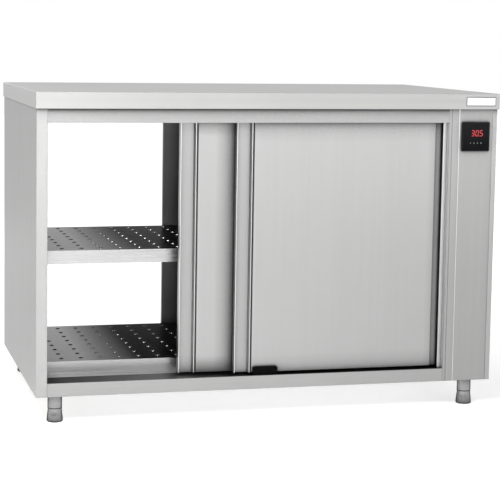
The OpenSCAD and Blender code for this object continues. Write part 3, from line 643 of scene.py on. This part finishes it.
# The studio: a pale floor that shows white, with a painted shade that makes it glow less near the cabinet,
# and an even world
WHITE = (1, 1, 1, 1)
FLOOR_PAINT = (0.86, 0.86, 0.86)
FLOOR_HALF = 14
FLOOR_DROP = 0.2 * MM
FLOOR_SHADED_GLOW = 0.5
FLOOR_FAR_GLOW = 0.75
FLOOR_SHADE_ENDS = (1.0, 3.0)
WORLD_SEEN = 1.0
WORLD_LIGHT = 0.45


def seen_rays(tree):
    """1 for rays that see the background: straight, mirrored or through glass."""
    path = tree.nodes.new("ShaderNodeLightPath")
    seen = path.outputs["Is Camera Ray"]
    for kind in ("Is Glossy Ray", "Is Transmission Ray"):
        either = tree.nodes.new("ShaderNodeMath")
        either.operation = "MAXIMUM"
        tree.links.new(seen, either.inputs[0])
        tree.links.new(path.outputs[kind], either.inputs[1])
        seen = either.outputs["Value"]
    return seen


def paint_floor():
    shade = Shade("floor_paint", Roughness=0.9, Emission_Color=WHITE)
    soft = shade.noise(even(3), detail=2)
    shade.tint(FLOOR_PAINT, shade.ranged(soft, 0.99, 1.0))
    coord = shade.add("ShaderNodeTexCoord")
    length = shade.add("ShaderNodeVectorMath", operation="LENGTH")
    shade.link(coord.outputs["Object"], length.inputs[0])
    # Painted shade: the floor glows less near the cabinet than far from it
    glow = shade.ranged(length.outputs["Value"], FLOOR_SHADED_GLOW, FLOOR_FAR_GLOW, *FLOOR_SHADE_ENDS)
    shade.link(shade.math("MULTIPLY", seen_rays(shade.tree), glow), shade.shader.inputs["Emission Strength"])
    return shade.mat


def make_floor():
    mesh = bpy.data.meshes.new("floor")
    corners = [(x, y, 0) for x, y in rectangle(-FLOOR_HALF, FLOOR_HALF, -FLOOR_HALF, FLOOR_HALF)]
    mesh.from_pydata(corners, [], [(0, 1, 2, 3)])
    mesh.materials.append(paint_floor())
    floor = add_object("floor", mesh)
    floor.location.z = -FLOOR_DROP


def background(tree, strength):
    node = tree.nodes.new("ShaderNodeBackground")
    node.inputs["Color"].default_value = WHITE
    node.inputs["Strength"].default_value = strength
    return node.outputs["Background"]


def make_world():
    world = bpy.data.worlds.new("studio")
    bpy.context.scene.world = world
    world.use_nodes = True
    tree = world.node_tree
    tree.nodes.clear()
    mix = tree.nodes.new("ShaderNodeMixShader")
    out = tree.nodes.new("ShaderNodeOutputWorld")
    tree.links.new(seen_rays(tree), mix.inputs["Fac"])
    tree.links.new(background(tree, WORLD_LIGHT), mix.inputs[1])
    tree.links.new(background(tree, WORLD_SEEN), mix.inputs[2])
    tree.links.new(mix.outputs["Shader"], out.inputs["Surface"])


# Each lamp is a flat panel; spread is in degrees
LAMPS = {
    "key": dict(place=(-0.7, -3.4, 0.66), aim=(-0.6, 0, 0.66), size=(1.2, 0.3), watts=13, spread=180),
    "front": dict(place=(1.2, -3.3, 0.68), aim=(0.25, 0, 0.8), size=(2.4, 0.28), watts=3.3, spread=90),
    "floor_left": dict(place=(-0.9, -1.7, 1.6), aim=(-0.5, -1.4, 0), size=(0.8, 0.8), watts=28, spread=130),
    "left": dict(place=(-3.4, -1.0, 2.2), aim=(-0.6, 0, 1.0), size=(1.2, 1.2), watts=9, spread=90),
    "rear": dict(place=(-1.3, 3.6, 1.7), aim=(-0.6, 0, 0.7), size=(1.6, 1.6), watts=18, spread=180),
    "top": dict(place=(-0.6, 0, 3.2), aim=(-0.3, 0, 0), size=(2.6, 2.6), watts=18, spread=180),
}


def make_lamp(name, place, aim, size, watts, spread):
    data = bpy.data.lights.new(name, "AREA")
    data.shape = "RECTANGLE"
    data.size, data.size_y = size
    data.energy = watts
    data.spread = math.radians(spread)
    lamp = add_object(name, data)
    lamp.location = place
    lamp.rotation_mode = "QUATERNION"
    lamp.rotation_quaternion = (Vector(aim) - Vector(place)).to_track_quat("-Z", "Y")


place_camera()
bpy.context.scene.view_settings.view_transform = "Standard"
make_materials()
dress_nodes()
for node, width in SOFT_EDGES.items():
    soften(node, width)
make_display()
make_foot_rings()
make_badge_painted_shadow()
make_post_strip()
make_door_folds()
make_hole_edges()
make_column_lines()
make_floor()
make_world()
for name, lamp in LAMPS.items():
    make_lamp(name, **lamp)
